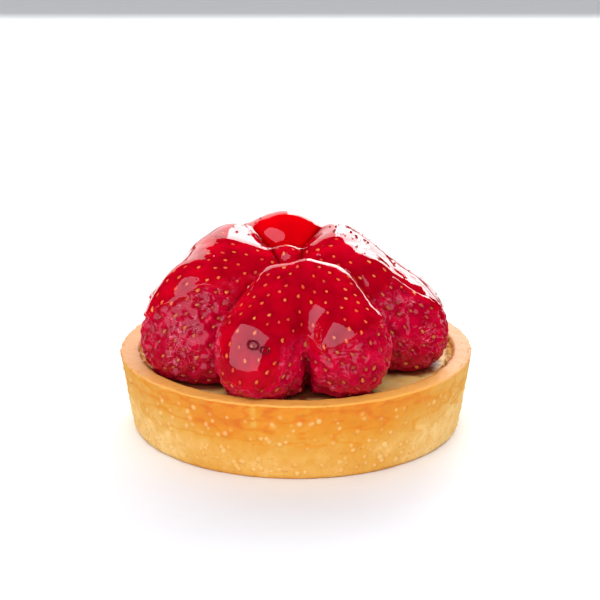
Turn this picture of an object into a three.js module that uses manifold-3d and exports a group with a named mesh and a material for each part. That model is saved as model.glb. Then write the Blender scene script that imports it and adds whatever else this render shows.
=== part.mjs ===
// Fruit tart: a shortcrust cup filled with baked custard and topped with whole glazed strawberries.
// Millimetres, +Z up. The tart stands on z = 0 about the Z axis, and its front faces -Y.
import * as THREE from 'three';
import { mergeVertices } from 'three/addons/utils/BufferGeometryUtils.js';
import Module from 'manifold-3d';

const wasm = await Module();
wasm.setup();

// ---- Crust: a plain ring-baked cup that flares a little towards its rim.
const RIM_RADIUS = 42;
const BASE_RADIUS = 39.2;
const CUP_HEIGHT = 18.5;
const RIM_WIDTH = 4.5;
const RIM_ROUND = 0.6;
const BASE_ROUND = 0.9;
const FLOOR_THICKNESS = 3.2;
const FLOOR_RADIUS = 35.5;
const CRUST_SEGMENTS = 80;
const WALL_ROWS = 7;
const CRUST_UNEVENNESS = 0.22;

// ---- Filling: set custard, poured to just under the rim.
const FILLING_TOP = 16.5;
const FILLING_GAP = 0.35;
const FILLING_SEGMENTS = 72;
const FILLING_DIMPLE = 0.18;

// ---- Grains baked into the outside of the crust.
const GRAINS = 22;
const GRAIN_SIZE = 1.5;
const GRAIN_SINK = 0.4;
const GRAIN_LOWEST = 2.5;
const GRAIN_HIGHEST = 14;

// ---- Fruit: how closely pieces lie to each other, and how finely they are faceted.
const PRESS_GAP = 0.65;
const RIM_GAP = 1.0;
const PRESS_ROUND = 1.2;
const BERRY_FACETS = [26, 18];
const CENTRE_FACETS = [18, 12];

// ---- Seeds (achenes) that stand proud of a berry's skin.
const SEED_LENGTH = 1.5;
const SEED_WIDTH = 1.0;
const SEED_THICKNESS = 0.9;
const SEED_CLEARANCE = 1.0;
const SEED_SPIRAL = Math.PI * (3 - Math.sqrt(5));

const RIM_INNER_RADIUS = RIM_RADIUS - RIM_WIDTH;

// Each berry is a few cones with round ends, melted together: broad shoulders (foot) taper to a tip.
// core is a point inside it from which its whole skin can be seen, and tip is where its seeds converge.
const BERRIES = [
  {
    name: 'berry_front',
    core: [1.5, -20, 30],
    tip: [1.8, -13, 41],
    blend: 3,
    facets: BERRY_FACETS,
    seeds: 28,
    lobes: [
      { foot: [-8, -29.3, 25.1], footRadius: 10, tip: [-2.5, -15, 34], tipRadius: 6 },
      { foot: [11.4, -28.8, 25.1], footRadius: 9.3, tip: [6.2, -15, 34.6], tipRadius: 6 },
      { foot: [1.9, -21.6, 29.9], footRadius: 7.1, tip: [2.6, -16, 38.4], tipRadius: 5.2 },
      { foot: [-12, -28, 29], footRadius: 4.8, tip: [-4.9, -16.5, 38.8], tipRadius: 2.8 },
      { foot: [15.1, -27.5, 29.2], footRadius: 4.4, tip: [7.9, -16.5, 39.1], tipRadius: 2.8 },
      { foot: [1.9, -20, 28], footRadius: 8.2, tip: [1.8, -10, 35.2], tipRadius: 6.2 },
      { foot: [-8.3, -32.1, 22.7], footRadius: 7.1, tip: [-5, -26, 30], tipRadius: 6 },
      { foot: [12.3, -28.9, 28.8], footRadius: 7.5, tip: [8, -18, 36], tipRadius: 5.6 },
      { foot: [-7.6, -29, 28.4], footRadius: 8.4, tip: [-3, -18, 36], tipRadius: 6 },
      { foot: [1.9, -26.5, 23], footRadius: 7.2, tip: [1.9, -20, 28], tipRadius: 6.8 },
    ],
    cleft: { centre: 2.4, width: 1.5, top: [-32, 27.2], bottom: [-25, 17] },
  },
  {
    name: 'berry_left',
    core: [-18, -3, 30],
    tip: [-4.5, -3, 40],
    blend: 5,
    facets: BERRY_FACETS,
    seeds: 28,
    lobes: [
      { foot: [-23.4, -14, 25.2], footRadius: 12.2, tip: [-17, -0.5, 36.3], tipRadius: 7.4 },
      { foot: [-25.8, 0.5, 25.4], footRadius: 9.3, tip: [-15.6, 7, 38], tipRadius: 5.8 },
      { foot: [-23.4, 9, 25], footRadius: 9.2, tip: [-14.6, 13, 37.4], tipRadius: 6.2 },
      { foot: [-15.8, 6, 38.4], footRadius: 6, tip: [-7.6, -1, 36.9], tipRadius: 4.2 },
      { foot: [-17.5, -17.5, 24.6], footRadius: 9.4, tip: [-9, -4, 35.4], tipRadius: 5 },
      { foot: [-21.2, -12, 34], footRadius: 8.8, tip: [-17, -2, 36.8], tipRadius: 7.2 },
      { foot: [-26.2, -4, 25.5], footRadius: 7.6, tip: [-18.5, 2, 35.2], tipRadius: 6.2 },
    ],
  },
  {
    name: 'berry_right',
    core: [18, -2, 30],
    tip: [3.5, -1, 41],
    blend: 5,
    facets: BERRY_FACETS,
    seeds: 28,
    lobes: [
      { foot: [25.4, -9, 24.4], footRadius: 9.9, tip: [11.4, -0.5, 35.2], tipRadius: 7 },
      { foot: [17.5, -11, 27.5], footRadius: 8.6, tip: [7, -1, 36.2], tipRadius: 6 },
      { foot: [25, 8, 25], footRadius: 8.6, tip: [10.8, 11, 36.2], tipRadius: 6.3 },
      { foot: [9.9, 5, 36.2], footRadius: 7.1, tip: [8.2, 10.5, 37.8], tipRadius: 6.4 },
      { foot: [14.2, -7.6, 35.4], footRadius: 6.8, tip: [9, -1, 36.6], tipRadius: 6.2 },
      { foot: [25, -0.5, 26], footRadius: 8.7, tip: [11.4, 5, 36], tipRadius: 7 },
    ],
  },
  {
    name: 'berry_back',
    core: [-1, 19, 31],
    tip: [-2, 6, 43],
    blend: 5,
    facets: BERRY_FACETS,
    seeds: 28,
    lobes: [
      { foot: [-12.5, 25, 25.3], footRadius: 10.5, tip: [-8.6, 14.5, 37], tipRadius: 7.1 },
      { foot: [12.5, 25, 25.3], footRadius: 10.5, tip: [0.4, 12.5, 38.9], tipRadius: 6.8 },
      { foot: [0, 22, 28], footRadius: 10, tip: [-2.6, 13, 39.6], tipRadius: 6.8 },
      { foot: [-2, 13, 34], footRadius: 9, tip: [-2.2, 5, 34.2], tipRadius: 6.6 },
    ],
  },
  {
    name: 'berry_centre',
    core: [-1.5, -2, 30],
    tip: [-2.5, -0.5, 42],
    blend: 2,
    facets: CENTRE_FACETS,
    seeds: 0,
    lobes: [
      { foot: [-1, -3, 26.5], footRadius: 8.5, tip: [-3.2, -0.2, 38.9], tipRadius: 3.1 },
      { foot: [0, -3, 27], footRadius: 7.5, tip: [-1.5, -1, 39.4], tipRadius: 2.8 },
    ],
  },
];

const COLOURS = {
  crust: 0xe6ae62,
  filling: 0xd9b36c,
  berry: 0xb3081d,
};

// ---- Distances. All are in millimetres, negative inside.

/**
 * Distance from a point to a cone with round ends.
 * @param {THREE.Vector3} point
 * @param {object} lobe foot and tip centres with their radii
 */
function lobeDistance(point, lobe) {
  const foot = new THREE.Vector3(...lobe.foot);
  const axis = new THREE.Vector3(...lobe.tip).sub(foot);
  const lengthSq = axis.lengthSq();
  const taper = lobe.footRadius - lobe.tipRadius;
  const slantSq = lengthSq - taper * taper;
  const toPoint = point.clone().sub(foot);
  const along = toPoint.dot(axis);
  const beyond = along - lengthSq;
  const acrossSq = toPoint.multiplyScalar(lengthSq).addScaledVector(axis, -along).lengthSq();
  const slope = Math.sign(taper) * taper * taper * acrossSq;
  if (Math.sign(beyond) * slantSq * beyond * beyond * lengthSq > slope) {
    return Math.sqrt(acrossSq + beyond * beyond * lengthSq) / lengthSq - lobe.tipRadius;
  }
  if (Math.sign(along) * slantSq * along * along * lengthSq < slope) {
    return Math.sqrt(acrossSq + along * along * lengthSq) / lengthSq - lobe.footRadius;
  }
  return (Math.sqrt((acrossSq * slantSq) / lengthSq) + along * taper) / lengthSq - lobe.footRadius;
}

/** Smaller of two distances, with the crease between them filled over the width blend. */
function smoothMin(a, b, blend) {
  const overlap = Math.max(blend - Math.abs(a - b), 0) / blend;
  return Math.min(a, b) - (overlap * overlap * blend) / 4;
}

/** Larger of two distances, with the edge between them rounded over the width blend. */
function smoothMax(a, b, blend) {
  return -smoothMin(-a, -b, blend);
}

/** Distance to a berry on its own. */
function berryDistance(point, berry) {
  return berry.lobes
    .map((lobe) => lobeDistance(point, lobe))
    .reduce((a, b) => smoothMin(a, b, berry.blend));
}

/** Distance to the rim of the cup. */
function rimDistance(point) {
  const inwards = RIM_INNER_RADIUS - Math.hypot(point.x, point.y);
  const above = point.z - CUP_HEIGHT;
  return inwards > 0 && above > 0 ? Math.hypot(inwards, above) : Math.max(inwards, above);
}

/** Distance to a berry that is flattened where it presses on the rim, the filling and the other berries. */
function pressedDistance(point, berry) {
  const own = berryDistance(point, berry);
  const limits = [RIM_GAP - rimDistance(point), PRESS_GAP - (point.z - FILLING_TOP)];
  for (const other of BERRIES) {
    if (other !== berry) {
      limits.push((own - berryDistance(point, other) + PRESS_GAP) / 2);
    }
  }
  return limits.reduce((distance, limit) => smoothMax(distance, limit, PRESS_ROUND), own);
}

/** The point of a berry's skin that lies in a direction from its core. */
function skinPoint(berry, direction) {
  const core = new THREE.Vector3(...berry.core);
  let inside = 0;
  let outside = 40;
  while (outside - inside > 0.005) {
    const middle = (inside + outside) / 2;
    const point = core.clone().addScaledVector(direction, middle);
    if (pressedDistance(point, berry) < 0) {
      inside = middle;
    } else {
      outside = middle;
    }
  }
  return core.addScaledVector(direction, inside);
}

/** Outward normal of a berry's skin at a point. */
function skinNormal(berry, point) {
  const step = 0.05;
  const slope = ['x', 'y', 'z'].map((key) => {
    const ahead = point.clone();
    const behind = point.clone();
    ahead[key] += step;
    behind[key] -= step;
    return pressedDistance(ahead, berry) - pressedDistance(behind, berry);
  });
  return new THREE.Vector3(...slope).normalize();
}

// ---- Meshes.

/** Joins a geometry's seams and drops faces without area, so that it is one closed surface. */
function closed(geometry) {
  geometry.deleteAttribute('uv');
  geometry.deleteAttribute('normal');
  const merged = mergeVertices(geometry, 1e-4);
  const corners = merged.index.array;
  const faces = [];
  for (let i = 0; i < corners.length; i += 3) {
    const [a, b, c] = [corners[i], corners[i + 1], corners[i + 2]];
    if (a !== b && b !== c && c !== a) {
      faces.push(a, b, c);
    }
  }
  merged.setIndex(faces);
  return merged;
}

/** Moves every vertex of a geometry by a function of its place. */
function displaced(geometry, move) {
  const position = geometry.attributes.position;
  const vertex = new THREE.Vector3();
  for (let i = 0; i < position.count; i += 1) {
    move(vertex.fromBufferAttribute(position, i));
    position.setXYZ(i, vertex.x, vertex.y, vertex.z);
  }
  return geometry;
}

/** Turns a section of (radius, height) points about the Z axis. */
function turned(section, segments) {
  const lathe = new THREE.LatheGeometry(section, segments);
  lathe.rotateX(Math.PI / 2);
  return closed(lathe);
}

function toManifold(geometry) {
  return new wasm.Manifold(
    new wasm.Mesh({
      numProp: 3,
      vertProperties: new Float32Array(geometry.attributes.position.array),
      triVerts: new Uint32Array(geometry.index.array),
    }),
  );
}

function fromManifold(solid) {
  const { vertProperties, triVerts } = solid.getMesh();
  const geometry = new THREE.BufferGeometry();
  geometry.setAttribute('position', new THREE.BufferAttribute(vertProperties, 3));
  geometry.setIndex(new THREE.BufferAttribute(triVerts, 1));
  return geometry;
}

/** Joins solids into one. */
function fused(geometries) {
  return fromManifold(wasm.Manifold.union(geometries.map(toManifold)));
}

/** Takes one solid out of another. */
function cut(geometry, tool) {
  return fromManifold(toManifold(geometry).subtract(toManifold(tool)));
}

/** A named mesh with its own material. */
function part(name, geometry, colour, roughness) {
  geometry.computeVertexNormals();
  const material = new THREE.MeshStandardMaterial({ color: colour, roughness, metalness: 0 });
  const mesh = new THREE.Mesh(geometry, material);
  mesh.name = name;
  return mesh;
}

/** An oval grain, 1 mm across before its sizes are set, turned so that its third size points outward. */
function makeGrain(sizes, place, along, outward) {
  const across = new THREE.Vector3().crossVectors(along, outward);
  const grain = new THREE.SphereGeometry(0.5, 6, 4);
  grain.scale(...sizes);
  grain.applyMatrix4(new THREE.Matrix4().makeBasis(across, along, outward));
  grain.translate(place.x, place.y, place.z);
  return closed(grain);
}

/** Gentle waves round the tart, between -1 and 1, that keep its pastry from looking machined. */
function waves(azimuth, height) {
  return (
    0.45 * Math.sin(3 * azimuth + 0.9) +
    0.35 * Math.sin(8 * azimuth + 0.35 * height + 2.1) +
    0.2 * Math.sin(17 * azimuth - 0.6 * height + 4)
  );
}

/** Outer radius of the crust at a height and an azimuth. */
function wallRadius(azimuth, height) {
  const straight = THREE.MathUtils.lerp(BASE_RADIUS, RIM_RADIUS, height / CUP_HEIGHT);
  return straight - CRUST_UNEVENNESS * 0.5 * (1 + waves(azimuth, height));
}

/** Grains scattered evenly round the wall, half sunk in it. */
function makeGrains() {
  return Array.from({ length: GRAINS }, (_, i) => {
    const azimuth = i * SEED_SPIRAL;
    const height = THREE.MathUtils.lerp(GRAIN_LOWEST, GRAIN_HIGHEST, ((i * 7) % GRAINS) / (GRAINS - 1));
    const outward = new THREE.Vector3(Math.cos(azimuth), Math.sin(azimuth), 0);
    const place = outward.clone().multiplyScalar(wallRadius(azimuth, height) - GRAIN_SINK).setZ(height);
    return makeGrain([GRAIN_SIZE, GRAIN_SIZE * 0.8, GRAIN_SIZE], place, new THREE.Vector3(0, 0, 1), outward);
  });
}

/** The shortcrust cup, with a flat base and a flat, slightly wavy rim. */
function makeCrust() {
  const section = new THREE.Path();
  section.moveTo(0, 0);
  section.lineTo(BASE_RADIUS - BASE_ROUND, 0);
  section.quadraticCurveTo(BASE_RADIUS, 0, BASE_RADIUS, BASE_ROUND);
  for (let row = 1; row <= WALL_ROWS; row += 1) {
    const height = THREE.MathUtils.lerp(BASE_ROUND, CUP_HEIGHT - RIM_ROUND, row / WALL_ROWS);
    section.lineTo(THREE.MathUtils.lerp(BASE_RADIUS, RIM_RADIUS, height / CUP_HEIGHT), height);
  }
  section.quadraticCurveTo(RIM_RADIUS, CUP_HEIGHT, RIM_RADIUS - RIM_ROUND, CUP_HEIGHT);
  section.lineTo(RIM_RADIUS - RIM_WIDTH / 2, CUP_HEIGHT);
  section.lineTo(RIM_INNER_RADIUS, CUP_HEIGHT - 0.2);
  section.lineTo((RIM_INNER_RADIUS + FLOOR_RADIUS) / 2, (CUP_HEIGHT + FLOOR_THICKNESS) / 2);
  section.lineTo(FLOOR_RADIUS, FLOOR_THICKNESS);
  section.lineTo(0, FLOOR_THICKNESS);
  const cup = turned(section.getPoints(2), CRUST_SEGMENTS);
  displaced(cup, (vertex) => {
    const radius = Math.hypot(vertex.x, vertex.y);
    const azimuth = Math.atan2(vertex.y, vertex.x);
    if (radius > FLOOR_RADIUS + 1 && vertex.z > 0) {
      const push = -CRUST_UNEVENNESS * (1 + waves(azimuth, vertex.z)) * 0.5;
      vertex.x *= 1 + push / radius;
      vertex.y *= 1 + push / radius;
    }
    if (vertex.z > CUP_HEIGHT - 0.5) {
      vertex.z -= CRUST_UNEVENNESS * 0.5 * (1 + waves(-azimuth, 3));
    }
  });
  return part('crust', fused([cup, ...makeGrains()]), COLOURS.crust, 0.75);
}

/** The custard: it fills the cup and dimples a little on top. */
function makeFilling() {
  const bottom = FLOOR_THICKNESS + FILLING_GAP;
  const wallAt = (height) =>
    THREE.MathUtils.mapLinear(height, FLOOR_THICKNESS, CUP_HEIGHT, FLOOR_RADIUS, RIM_INNER_RADIUS)
    - FILLING_GAP - CRUST_UNEVENNESS;
  const section = [
    [0, bottom],
    [wallAt(bottom), bottom],
    [wallAt(FILLING_TOP), FILLING_TOP],
    [wallAt(FILLING_TOP) - 6, FILLING_TOP],
    [wallAt(FILLING_TOP) - 14, FILLING_TOP],
    [0, FILLING_TOP],
  ].map(([radius, height]) => new THREE.Vector2(radius, height));
  const disc = turned(section, FILLING_SEGMENTS);
  displaced(disc, (vertex) => {
    if (vertex.z > bottom) {
      const azimuth = Math.atan2(vertex.y, vertex.x);
      vertex.z -= FILLING_DIMPLE * 0.5 * (1 + waves(azimuth + 1, 0.4 * Math.hypot(vertex.x, vertex.y)));
    }
  });
  return part('filling', disc, COLOURS.filling, 0.5);
}

/** Small ovals spread evenly over a berry's skin, each pointing at its tip, where no other piece is near. */
function makeSeeds(berry, skin, turn) {
  const core = new THREE.Vector3(...berry.core);
  const tip = new THREE.Vector3(...berry.tip);
  const others = BERRIES.filter((other) => other !== berry);
  const corners = [];
  for (let i = 0; i < skin.attributes.position.count; i += 1) {
    corners.push(new THREE.Vector3().fromBufferAttribute(skin.attributes.position, i));
  }
  const chosen = new Set();
  for (let i = 0; i < berry.seeds; i += 1) {
    const polar = Math.acos(1 - (2 * (i + 0.5)) / berry.seeds);
    const direction = new THREE.Vector3().setFromSphericalCoords(1, polar, i * SEED_SPIRAL);
    direction.applyQuaternion(turn);
    const angles = corners.map((corner) => corner.clone().sub(core).angleTo(direction));
    chosen.add(corners[angles.indexOf(Math.min(...angles))]);
  }
  const clear = [...chosen].filter((place) => {
    const gaps = others.map((other) => berryDistance(place, other));
    return Math.min(rimDistance(place), place.z - FILLING_TOP, ...gaps) > SEED_CLEARANCE;
  });
  return clear.map((place) => {
    const outward = skinNormal(berry, place);
    const along = tip.clone().sub(place).projectOnPlane(outward).normalize();
    return makeGrain([SEED_WIDTH, SEED_LENGTH, SEED_THICKNESS], place, along, outward);
  });
}

/** The blade-shaped gap between two lobes of a berry, open towards its front and its bottom. */
function makeCleft({ centre, width, top, bottom }) {
  const ahead = top[0] - 15;
  const outline = [top, bottom, [bottom[0], bottom[1] - 5], [ahead, bottom[1] - 5], [ahead, top[1] + 6]];
  const blade = new THREE.Shape(outline.map(([y, z]) => new THREE.Vector2(y, z)));
  const geometry = new THREE.ExtrudeGeometry(blade, { depth: width, bevelEnabled: false });
  geometry.rotateX(Math.PI / 2);
  geometry.rotateZ(Math.PI / 2);
  geometry.translate(centre - width / 2, 0, 0);
  return closed(geometry);
}

/** A whole strawberry: a sphere drawn onto its skin, with seeds fused to it, placed at its core. */
function makeBerry(berry) {
  const core = new THREE.Vector3(...berry.core);
  const towardsTip = new THREE.Vector3(...berry.tip).sub(core).normalize();
  const turn = new THREE.Quaternion().setFromUnitVectors(new THREE.Vector3(0, 1, 0), towardsTip);
  const skin = closed(new THREE.SphereGeometry(1, ...berry.facets));
  displaced(skin, (vertex) => {
    vertex.applyQuaternion(turn);
    vertex.copy(skinPoint(berry, vertex));
  });
  let flesh = fused([skin, ...makeSeeds(berry, skin, turn)]);
  if (berry.cleft) {
    flesh = cut(flesh, makeCleft(berry.cleft));
  }
  flesh.translate(-core.x, -core.y, -core.z);
  const mesh = part(berry.name, flesh, COLOURS.berry, 0.25);
  mesh.position.copy(core);
  return mesh;
}

const tart = new THREE.Group();
tart.name = 'fruit_tart';
tart.add(makeCrust(), makeFilling());

const fruit = new THREE.Group();
fruit.name = 'fruit';
BERRIES.forEach((berry) => fruit.add(makeBerry(berry)));
tart.add(fruit);

export default tart;
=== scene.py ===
import bpy
import numpy as np
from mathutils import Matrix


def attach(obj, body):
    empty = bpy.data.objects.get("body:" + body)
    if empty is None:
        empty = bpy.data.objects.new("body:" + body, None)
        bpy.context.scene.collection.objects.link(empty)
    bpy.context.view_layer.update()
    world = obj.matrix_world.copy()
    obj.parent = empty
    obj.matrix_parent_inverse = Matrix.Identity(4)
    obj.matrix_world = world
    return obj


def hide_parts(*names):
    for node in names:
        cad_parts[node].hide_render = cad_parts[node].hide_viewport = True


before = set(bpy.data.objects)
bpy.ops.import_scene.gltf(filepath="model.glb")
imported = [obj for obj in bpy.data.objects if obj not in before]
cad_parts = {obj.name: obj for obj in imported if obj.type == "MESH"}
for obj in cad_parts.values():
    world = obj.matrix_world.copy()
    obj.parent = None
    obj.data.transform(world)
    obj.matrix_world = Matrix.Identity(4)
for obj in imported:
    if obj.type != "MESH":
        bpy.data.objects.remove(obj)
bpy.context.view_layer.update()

# ---- Camera. A long lens on a tripod in front of the tart, 15 cm above the table, looking down at
# the fruit. Lengths are in millimetres here and in every section; MM turns them into metres where
# a mesh, lamp or camera is made. Only the materials count in metres.
MM = 0.001
CAMERA_REACH = 400.0
CAMERA_DOWN = np.radians(17.38)
CAMERA_AIM = np.array([0.88, 0.0, 29.41])
CAMERA_LENS = 100.9
CAMERA_SENSOR = 36.0

camera_data = bpy.data.cameras.new("camera")
camera_data.lens = CAMERA_LENS
camera_data.sensor_width = CAMERA_SENSOR
camera_data.clip_start = 0.01
camera = bpy.data.objects.new("camera", camera_data)
bpy.context.scene.collection.objects.link(camera)
camera_back = np.array([0.0, -np.cos(CAMERA_DOWN), np.sin(CAMERA_DOWN)])
camera.location = (CAMERA_AIM + CAMERA_REACH * camera_back) * MM
camera.rotation_euler = (np.pi / 2 - CAMERA_DOWN, 0.0, 0.0)
bpy.context.scene.camera = camera


# ---- Crust. A cup of shortcrust pastry, pressed into a plain ring and baked golden: paler below,
# deeper orange under the rim, with pale grains of almond and sugar standing out of its wall and one
# drip of glaze down it. Its colour also holds painted light: the paler lower wall is partly baking
# and partly painted bounce light from the white board, the darker foot is partly painted contact
# shade, and the left and right sides are painted paler as if light wrapped round them. One section
# turned round the Z axis, then pushed in and out.
RIM_RADIUS = 42.0
BASE_RADIUS = 39.2
CUP_HEIGHT = 18.5
RIM_WIDTH = 4.5
FLOOR_RADIUS = 35.5
FLOOR_THICKNESS = 3.2
BASE_ROUND = 0.9
RIM_ROUND = 0.55
RIM_INNER_RADIUS = RIM_RADIUS - RIM_WIDTH
CRUST_AROUND = 860
CRUST_UNEVENNESS = 0.22
INNER_UNEVENNESS = 0.35
NOISE_TABLE = 8192
GRAIN_COUNT = 620
GRAIN_RADIUS = (0.42, 0.85)
GRAIN_LOWEST = 1.6
GRAIN_BAND = 14.0
GRAIN_FAINTEST = 0.28
GRAIN_RISE = 0.3
EVEN_STEP_ACROSS = 0.6180339887
EVEN_STEP_UP = 0.7548776662
LUMP_COUNT = 46
LUMP_RISE = 0.28
CRUMB_RISE = 0.10
PORE_DEPTH = 0.14
RAGGED_RISE = 0.35
DRIP_ACROSS = -75.4
DRIP_WIDTH = 0.9
DRIP_RISE = 0.3
TOAST_LOW = 0.27
# The climb towards the rim also leaves the lower wall paler as painted bounce light from the white board,
# the foot's toast is partly painted contact shade, and the paler left and right sides are painted light.
TOAST_AND_BOUNCE_HIGHER_UP = 0.5
TOAST_MOTTLE = 0.13
TOAST_SMEARS = 0.38
FOOT_TOAST_AND_SHADE = 0.5
PAINTED_LIGHT_LEFT = 0.42
PAINTED_LIGHT_RIGHT = 0.56
PALER_DRIP = 0.4
CARAMEL_WIDTH = 1.3


def value_noise(points, size, seed):
    """Smooth random field from -1 to 1: random values at the corners of cubes of the given size,
    blended inside each cube along every axis by t * t * (3 - 2 * t)."""
    table = np.random.default_rng(seed).uniform(-1.0, 1.0, NOISE_TABLE)
    cell = np.floor(points / size)
    t = points / size - cell
    t = t * t * (3.0 - 2.0 * t)
    cell = cell.astype(np.int64)
    total = 0.0
    for corner in range(8):
        step = np.array([corner & 1, corner >> 1 & 1, corner >> 2 & 1])
        i, j, k = np.moveaxis(cell + step, -1, 0)
        key = (i * 73856093 ^ j * 19349663 ^ k * 83492791) & (NOISE_TABLE - 1)
        total = total + table[key] * np.prod(np.where(step == 1, t, 1.0 - t), axis=-1)
    return total


def fractal_noise(points, size, seed, octaves=3):
    """Sum of value noises, each half as large and half as strong as the one before."""
    return sum(value_noise(points, size / 2**n, seed + n) / 2**n for n in range(octaves))


def smooth_step(low, high, x):
    """0 below low, 1 above high, and 3 t^2 - 2 t^3 in between."""
    t = np.clip((x - low) / (high - low), 0.0, 1.0)
    return t * t * (3.0 - 2.0 * t)


def waves(azimuth, height):
    """Sum of three sines round the tart, between -1 and 1, the same as in the pastry of the frame."""
    return (
        0.45 * np.sin(3 * azimuth + 0.9)
        + 0.35 * np.sin(8 * azimuth + 0.35 * height + 2.1)
        + 0.2 * np.sin(17 * azimuth - 0.6 * height + 4)
    )


def around(radius, angle, height):
    """Points at a distance from the Z axis, an angle round it and a height."""
    return np.stack(np.broadcast_arrays(radius * np.cos(angle), radius * np.sin(angle), height), axis=-1)


def grid_faces(rows, columns):
    """Quads between neighbouring rows of a grid whose columns run round and join up, wound so that
    they face outwards where rows climb and columns run counter-clockwise."""
    row, column = np.meshgrid(np.arange(rows - 1), np.arange(columns), indexing="ij")
    after = (column + 1) % columns
    here, above = row * columns, (row + 1) * columns
    return np.stack([here + column, here + after, above + after, above + column], axis=-1).reshape(-1, 4)


def closed_grid_faces(rows, columns):
    """The quads of such a grid, and a fan of triangles from each end row to a point of its own, so
    that the surface is closed. The two points are numbered after the grid's."""
    ring = np.arange(columns)
    after = (ring + 1) % columns
    last = (rows - 1) * columns
    first_fan = np.stack([np.full(columns, rows * columns), after, ring], axis=-1)
    last_fan = np.stack([np.full(columns, rows * columns + 1), last + ring, last + after], axis=-1)
    return grid_faces(rows, columns), np.concatenate([first_fan, last_fan])


def closed_grid_mesh(name, points):
    """Mesh of a grid of points, in millimetres, closed at the middle point of each end row."""
    vertices = np.concatenate([points.reshape(-1, 3), points[:1].mean(axis=1), points[-1:].mean(axis=1)])
    return mesh_from_arrays(name, vertices, *closed_grid_faces(*points.shape[:2]))


def mesh_from_arrays(name, vertices, quads, triangles):
    """Smooth-shaded mesh from vertices in millimetres, and faces as arrays of vertex numbers."""
    mesh = bpy.data.meshes.new(name)
    corners = np.concatenate([quads.ravel(), triangles.ravel()]).astype(np.int32)
    sizes = np.concatenate([np.full(len(quads), 4), np.full(len(triangles), 3)])
    starts = np.concatenate([[0], np.cumsum(sizes)[:-1]])
    mesh.vertices.add(len(vertices))
    mesh.vertices.foreach_set("co", (vertices * MM).astype(np.float32).ravel())
    mesh.loops.add(len(corners))
    mesh.loops.foreach_set("vertex_index", corners)
    mesh.polygons.add(len(sizes))
    mesh.polygons.foreach_set("loop_start", starts.astype(np.int32))
    mesh.polygons.foreach_set("use_smooth", np.ones(len(sizes), dtype=bool))
    mesh.update(calc_edges=True)
    mesh.validate()
    return mesh


def add_piece(name, mesh, material):
    """Puts a mesh in the scene as a piece that rides on the tart's one body."""
    mesh.materials.append(material)
    piece = bpy.data.objects.new(name, mesh)
    bpy.context.scene.collection.objects.link(piece)
    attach(piece, "root")
    return piece


def store_value(mesh, name, values):
    """Keeps one number for each vertex, for the material to read. Vertices past the last number,
    such as a closed grid's two end points, get 0."""
    padded = np.zeros(len(mesh.vertices), dtype=np.float32)
    padded[: values.size] = values.ravel()
    mesh.attributes.new(name, "FLOAT", "POINT").data.foreach_set("value", padded)


def crust_section():
    """(radius, height) along the cup's section, from under its middle, out along the base, up the
    wall, over the rim, down the inner wall and along the floor to the middle."""
    turn = np.linspace(0, np.pi / 2, 7)[1:-1]
    wall_heights = np.linspace(BASE_ROUND, CUP_HEIGHT - RIM_ROUND, 66)
    wall_radii = BASE_RADIUS + (RIM_RADIUS - BASE_RADIUS) * wall_heights / CUP_HEIGHT
    rim_radii = np.linspace(RIM_RADIUS - RIM_ROUND, RIM_INNER_RADIUS + 0.5, 18)
    inner_heights = np.concatenate([np.linspace(CUP_HEIGHT - 0.5, 15.5, 10), [FLOOR_THICKNESS]])
    inner_slope = (RIM_INNER_RADIUS - FLOOR_RADIUS) / (CUP_HEIGHT - FLOOR_THICKNESS)
    inner_radii = FLOOR_RADIUS + (inner_heights - FLOOR_THICKNESS) * inner_slope
    foot_radius = BASE_RADIUS - BASE_ROUND
    edge_radius, edge_height = RIM_RADIUS - RIM_ROUND, CUP_HEIGHT - RIM_ROUND
    stretches = [
        ([5.0, 20.0, 34.0, foot_radius], [0.0] * 4),
        (foot_radius + BASE_ROUND * np.sin(turn), BASE_ROUND - BASE_ROUND * np.cos(turn)),
        (wall_radii, wall_heights),
        (edge_radius + RIM_ROUND * np.cos(turn), edge_height + RIM_ROUND * np.sin(turn)),
        (rim_radii, np.full(18, CUP_HEIGHT)),
        (inner_radii, inner_heights),
        ([20.0, 5.0], [FLOOR_THICKNESS] * 2),
    ]
    return np.concatenate([np.stack(stretch, axis=-1) for stretch in stretches])


def spot_field(across, height, spots, sharpness):
    """For points on the unrolled wall, the strongest of many round caps: each spot has a place, a
    radius r and a strength s, and its cap is s (1 - (d / r)^2)^sharpness at a distance d."""
    field = np.zeros(across.shape)
    for place_across, place_height, radius, strength in spots:
        near = (np.abs(across - place_across) < 2 * radius) & (np.abs(height - place_height) < 2 * radius)
        squared = ((across[near] - place_across) ** 2 + (height[near] - place_height) ** 2) / radius**2
        field[near] = np.maximum(field[near], strength * np.clip(1.0 - squared, 0.0, 1.0) ** sharpness)
    return field


def scatter_grains():
    """(arc length, height, radius, strength) of the grains: spaced evenly by steps of the golden
    ratio across and of its like up the wall, jittered, more of them low down, none in patches."""
    random = np.random.default_rng(11)
    index = np.arange(GRAIN_COUNT)
    across = (index * EVEN_STEP_ACROSS % 1.0) * 2 * np.pi * RIM_RADIUS - np.pi * RIM_RADIUS
    up = (index * EVEN_STEP_UP + random.normal(0, 0.05, GRAIN_COUNT)) % 1.0
    height = GRAIN_LOWEST + GRAIN_BAND * up**1.15
    radius = random.uniform(*GRAIN_RADIUS, GRAIN_COUNT)
    places = np.stack([across, height, np.zeros(GRAIN_COUNT)], axis=-1)
    strength = random.uniform(0.2, 1.0, GRAIN_COUNT) * smooth_step(-0.8, 0.0, value_noise(places, 6.0, 12))
    return np.stack([across, height, radius, np.where(strength > GRAIN_FAINTEST, strength, 0.0)], axis=-1)


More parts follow.
